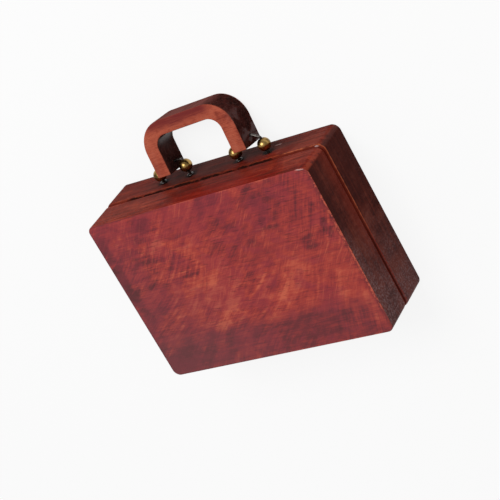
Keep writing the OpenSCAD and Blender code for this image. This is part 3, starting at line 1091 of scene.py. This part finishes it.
@dataclass
class Case:
    """The wooden case: tray and lid, each of four rails and a panel."""

    stain: SideStain = SideStain()
    width: float = 100.0
    depth: float = 70.0
    height: float = 30.0
    seam: float = 15.0
    gap: float = 0.2
    panel: float = 2.5
    setback: float = 0.2
    corner: float = 3.0
    leaf: float = 0.4
    room: float = 0.15
    hinge_x: float = 28.0
    hinge_y: float = 34.1
    hinge_length: float = 14.0
    pocket: float = 1.05
    leaf_reach: float = 3.6
    magnet: Triple = (36.0, -31.7, 1.2)
    magnet_radius: float = 1.27
    wire_x: tuple = (-24.0, -11.2, 11.2, 24.0)
    wire_z: float = 8.4
    wire_depth: float = 3.6
    wire_bore: float = 0.55
    drop: float = 1.35
    drop_shape: Triple = (1.0, 0.62, 0.8)
    drop_grip: float = 0.35
    drop_sway: float = 1.1
    drop_pulls: tuple = (((-0.9, 0, 0.3), (-0.25, 0, 0.15)), ((0.6, 0, -0.7), (0.1, 0, -0.3)))

    def build(self) -> None:
        """Model and dress every board."""
        tray = Shell("tray", self.width, self.depth, self.corner, self.seam - self.gap / 2,
                     self.panel, 0.0)
        lid = Shell("lid", self.width - 2 * self.setback, self.depth - 2 * self.setback,
                    self.corner - self.setback, self.seam + self.gap / 2,
                    self.height - self.panel, self.height)
        for part, slot in ((tray, "tray_wood"), (lid, "lid_rail_wood")):
            rails = {side: part.rail(side) for side in (Side.HANDLE, Side.HINGE, Side.LEFT)}
            rails[Side.RIGHT] = rails[Side.LEFT].copy(f"{part.name}_board_{Side.RIGHT.label}",
                                                      Matrix.Rotation(math.pi, 4, "Z"))
            for side, piece in rails.items():
                self._let_in(piece, part, side)
                wires = self.wire_x if part is tray and side is Side.HANDLE else ()
                finish = BoardFinish(f"{part.name}_stain_{side.label}", self.stain, side.run, wires)
                piece.dress(finish.material())
                piece.fit(part.name, slot, f"{part.name}_rail_{side.label}")
        top = lid.panel("lid_top_board").dress(LidPanelFinish(self.stain).material())
        top.fit("lid", "lid_panel_wood", "lid_panel")
        finish = BoardFinish("tray_stain_back", self.stain, Run.ALONG_X)
        back = tray.panel("tray_back_board").dress(finish.material())
        back.fit("tray", "tray_wood", "tray_panel")

    def _let_in(self, piece: Piece, part: Shell, side: Side) -> None:
        """Cut a rail's beds for hinges, magnets and wires.

        Args:
            piece: The rail.
            part: Tray or lid.
            side: Where it stands.
        """
        up = part.up
        if side is Side.HINGE:
            reach, half = self.leaf_reach + self.room, self.hinge_length / 2 + self.room
            low, high = sorted((part.rim - up * self.leaf, part.rim + up * CLEAR))
            for x in (-self.hinge_x, self.hinge_x):
                piece.cut(Piece.block("bed", (x - half, self.hinge_y - reach, low),
                                      (x + half, self.hinge_y + 2 * CLEAR, high)))
                piece.cut(Piece.rod("pocket", (x - half, self.hinge_y, self.seam),
                                    (x + half, self.hinge_y, self.seam), self.pocket))
        if side is Side.HANDLE:
            x, y, deep = self.magnet
            for end in (-x, x):
                piece.cut(Piece.rod("seat", (end, y, part.rim - up * deep),
                                    (end, y, part.rim + up * CLEAR), self.magnet_radius))
        if side is Side.HANDLE and up > 0:
            front, dab = -self.depth / 2, self._dab()
            for x in self.wire_x:
                piece.cut(Piece.rod("bore", (x, front - CLEAR, self.wire_z),
                                    (x, front + self.wire_depth, self.wire_z), self.wire_bore, 24))
                place = Matrix.Translation(Vector((x, front, self.wire_z)) * MM)
                piece.join(dab.copy("dab_copy", place @ Matrix.Rotation(x, 4, "Y")))
            dab.discard()

    def _dab(self) -> Piece:
        """Model an uneven drop of dark glue, to sit half sunk in the rail round a wire.

        Returns:
            The drop.
        """
        Piece.clear()
        bpy.ops.mesh.primitive_ico_sphere_add(subdivisions=4, radius=self.drop * MM,
                                              scale=self.drop_shape)
        drop = Piece.added("dab")
        for centre, pull in self.drop_pulls:
            drop.edit(Part.VERTEX, lambda v: (v - Vector(centre)).length < self.drop_grip)
            bpy.ops.transform.translate(value=[c * MM for c in pull], use_proportional_edit=True,
                                        proportional_edit_falloff="SMOOTH",
                                        proportional_size=self.drop_sway * MM)
        return drop


@dataclass
class Hanging:
    """The handle, its two bent wires and their four beads."""

    width: float = 41.0
    reach: float = 17.1
    foot: float = 3.3
    thick: float = 11.6
    leg: float = 5.8
    bar: float = 5.5
    outer: float = 10.6
    inner: float = 5.0
    arris: float = 0.35
    cant: float = 1.7
    pivot_y: float = -42.5
    pivot_z: float = 8.4
    gap: float = 0.1
    wire: float = 0.5
    leg_play: float = 0.07
    bead_play: float = 0.03
    bead: float = 2.5
    dish: float = 0.12
    bead_y: float = -38.3
    slip: float = 0.8
    spread: float = 6.4
    knee: float = 0.5
    over: float = 0.6
    bend: float = 0.7
    bend_step: float = 7.0
    root_y: float = -31.4

    @property
    def leg_x(self) -> float:
        """Distance of a leg's middle from the handle's."""
        return self.width / 2 - self.leg / 2

    @property
    def droop(self) -> float:
        """Angle at which the far edge of the bar meets the table."""
        return (math.asin((self.pivot_z - self.gap) / math.hypot(self.reach, self.thick / 2))
                - math.atan2(self.thick / 2, self.reach))

    @property
    def lift(self) -> Matrix:
        """Place of the handle's own frame."""
        pivot = Matrix.Translation(Vector((0, self.pivot_y, self.pivot_z)) * MM)
        return (pivot @ Matrix.Rotation(math.radians(self.cant), 4, "Z")
                @ Matrix.Rotation(self.droop, 4, "X"))

    def build_handle(self) -> None:
        """Model and dress the handle: a board less its opening and the bores of its legs."""
        half, thick = self.width / 2, self.thick
        arches = ((half, self.reach, self.foot, self.outer, thick),
                  (half - self.leg, self.reach - self.bar, self.foot + CLEAR, self.inner,
                   thick + 2 * CLEAR))
        piece, opening = (
            Piece.block("handle_arch", (-side, -far, -deep / 2), (side, near, deep / 2)).round_off(
                radius, 28, lambda a, b: abs(a.z - b.z) > 1 and a.y < 0)
            for side, far, near, radius, deep in arches)
        piece.cut(opening)
        piece.ease(self.arris, 4)
        radius, long = self.wire + self.leg_play, 5 * CLEAR
        for x in (-self.leg_x, self.leg_x):
            piece.cut(Piece.rod("bore", (x - long, 0, 0), (x + long, 0, 0), radius, 32))
        piece.move(self.lift)
        finish = HandleFinish(self.lift, thick / 2, self.reach, self.bar)
        piece.dress(finish.material()).fit("handle", "handle_wood", "handle")

    def _on_pivot(self, x: float) -> Vector:
        """Point on the pivot line."""
        turn = math.radians(self.cant)
        return Vector((x * math.cos(turn), self.pivot_y + x * math.sin(turn), self.pivot_z))

    def bead_place(self, leg: int, side: int) -> Vector:
        """Find the middle of a bead.

        Args:
            leg: The leg, -1 or 1.
            side: The side of the leg, -1 or 1.

        Returns:
            The middle. One bead has slipped outwards.
        """
        x = self._on_pivot(leg * self.leg_x).x + side * self.spread
        y = self.bead_y - (self.slip if (leg, side) == (1, -1) else 0)
        return Vector((x, y, self.pivot_z))

    def wire_path(self, leg: int) -> list[Vector]:
        """Find the corners of a wire.

        Args:
            leg: The leg, -1 or 1.

        Returns:
            The corners, from rail to rail.
        """
        path = []
        for side in (-1, 1):
            bead = self.bead_place(leg, side)
            root = Vector((bead.x, self.root_y, bead.z))
            knee = Vector((bead.x, bead.y - self.bead - self.knee, bead.z))
            bend = self._on_pivot(leg * self.leg_x + side * (self.leg / 2 + self.over))
            path += [root, knee, bend] if side < 0 else [bend, knee, root]
        return path

    def build_wire(self, leg: int) -> None:
        """Model and dress one wire: runs are extruded and bends are spun.

        Args:
            leg: The leg, -1 or 1.
        """
        path = self.wire_path(leg)
        label = "left" if leg < 0 else "right"
        Piece.clear()
        bpy.ops.mesh.primitive_circle_add(vertices=20, radius=self.wire * MM, fill_type="NGON",
                                          location=path[0] * MM, rotation=(math.pi / 2, 0, 0))
        piece = Piece.added(f"bent_wire_{label}")
        piece.edit(Part.FACE)
        at = path[0]
        for last, corner, following in zip(path, path[1:], path[2:] + [None]):
            way = (corner - last).normalized()
            onward = (following - corner).normalized() if following else way
            angle = way.angle(onward)
            back = self.bend * math.tan(angle / 2)
            stop = corner - way * back
            bpy.ops.mesh.extrude_region_move(TRANSFORM_OT_translate={"value": (stop - at) * MM})
            if following:
                centre = stop + Vector((-way.y, way.x, 0)) * self.bend
                steps = max(2, round(math.degrees(angle) / self.bend_step))
                bpy.ops.mesh.spin(steps=steps, angle=-angle, center=centre * MM, axis=(0, 0, 1))
                at = corner + onward * back
        steel = MetalFinish(f"dark_wire_{label}", srgb(104, 98, 94), srgb(54, 49, 46), 0.38)
        piece.dress(steel.material(), 50).fit("tray", "wire_steel", f"wire_{label}")

    def _bead(self) -> Piece:
        """Model the bead at the origin.

        Returns:
            A ball, bored through, with dished mouths.
        """
        Piece.clear()
        bpy.ops.mesh.primitive_uv_sphere_add(segments=48, ring_count=32, radius=self.bead * MM,
                                             rotation=(math.pi / 2, 0, 0))
        piece = Piece.added("brass_bead")
        mouth = Vector((0, self.bead + CLEAR, 0))
        piece.cut(Piece.rod("bore", -mouth, mouth, self.wire + self.bead_play, 32))
        piece.ease(self.dish, 3, 40)
        brass = MetalFinish("aged_brass", srgb(190, 154, 92), srgb(96, 74, 38), 0.27, 0.006)
        return piece.dress(brass.material(), 40)

    def build(self) -> None:
        """Model and dress the handle, wires and beads."""
        self.build_handle()
        bead = self._bead()
        for leg in (-1, 1):
            self.build_wire(leg)
            for side in (-1, 1):
                label = ("left" if leg < 0 else "right") + ("_outer" if leg == side else "_inner")
                place = Matrix.Translation(self.bead_place(leg, side) * MM)
                bead.copy(f"brass_bead_{label}", place).fit("tray", "bead_brass", f"bead_{label}")
        bead.discard()


class Fittings:
    """Hinges, nails, magnets and dividers, whose CAD shapes are kept."""

    def build(self) -> None:
        """Give each kept node its finish."""
        brass = MetalFinish("hinge_brass_sheet", srgb(180, 144, 84), srgb(146, 112, 62), 0.36)
        nickel = MetalFinish("magnet_plating", srgb(206, 202, 194), srgb(168, 162, 152), 0.26)
        finishes = {"hinge": brass.material(), "leaf": brass.material(),
                    "magnets": nickel.material(),
                    "divider_long": ThinWoodFinish("divider_grain_x", Run.ALONG_X).material(),
                    "divider_cross": ThinWoodFinish("divider_grain_y", Run.ALONG_Y).material()}
        for name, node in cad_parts.items():
            fitting = [finish for key, finish in finishes.items() if key in name]
            if fitting and not node.hide_render:
                for slot in node.material_slots:
                    slot.material = fitting[0]
                LOG.info("%s keeps its CAD shape", node.name)


@dataclass
class Studio:
    """Camera at the photograph's viewpoint, white table and soft light."""

    eye: Triple = (-352.61, -227.11, 474.16)
    right: Triple = (-0.79806, 0.46247, -0.38629)
    up: Triple = (-0.20222, -0.80944, -0.55128)
    back: Triple = (-0.56763, -0.36184, 0.73951)
    lens: float = 121.93
    sensor: float = 36.0
    nearest: float = 0.01
    table: float = 6.0
    table_z: float = -0.0001
    ambient: float = 0.5
    white: tuple = (1.0, 1.0, 1.0, 1.0)
    lamp: Triple = (0.05, -0.45, 0.62)
    lamp_size: float = 0.4
    lamp_power: float = 2.6

    def build(self) -> None:
        """Set up the studio."""
        self._camera()
        self._table()
        self._light()
        bpy.context.scene.view_settings.view_transform = "Standard"

    def _camera(self) -> None:
        """Set up the camera."""
        data = bpy.data.cameras.new("viewpoint")
        data.lens = self.lens
        data.sensor_width = self.sensor
        data.clip_start = self.nearest
        camera = bpy.data.objects.new("viewpoint", data)
        axes = Matrix((self.right, self.up, self.back)).transposed().to_4x4()
        camera.matrix_world = Matrix.Translation(Vector(self.eye) * MM) @ axes
        bpy.context.scene.collection.objects.link(camera)
        bpy.context.scene.camera = camera

    def _table(self) -> None:
        """Lay the table top."""
        Piece.clear()
        bpy.ops.mesh.primitive_plane_add(size=self.table, location=(0, 0, self.table_z))
        table = bpy.context.view_layer.objects.active
        table.name = "white_table"
        table.data.materials.append(TableFinish().material())

    def _light(self) -> None:
        """Hang a soft box that looks at the case, in an even white surround."""
        data = bpy.data.lights.new("key_box", "AREA")
        data.size = self.lamp_size
        data.energy = self.lamp_power
        lamp = bpy.data.objects.new("key_box", data)
        lamp.location = self.lamp
        lamp.rotation_euler = (-Vector(self.lamp)).to_track_quat("-Z", "Y").to_euler()
        bpy.context.scene.collection.objects.link(lamp)
        world = bpy.data.worlds.new("surround")
        world.use_nodes = True
        surround = world.node_tree.nodes["Background"]
        surround.inputs["Color"].default_value = self.white
        surround.inputs["Strength"].default_value = self.ambient
        bpy.context.scene.world = world


def main() -> None:
    """Build the studio and every sub-assembly in order."""
    logging.basicConfig(level=logging.INFO, format="%(name)s: %(message)s")
    Studio().build()
    Case().build()
    Hanging().build()
    Fittings().build()
    Piece.clear()


if __name__ == "__main__":
    main()
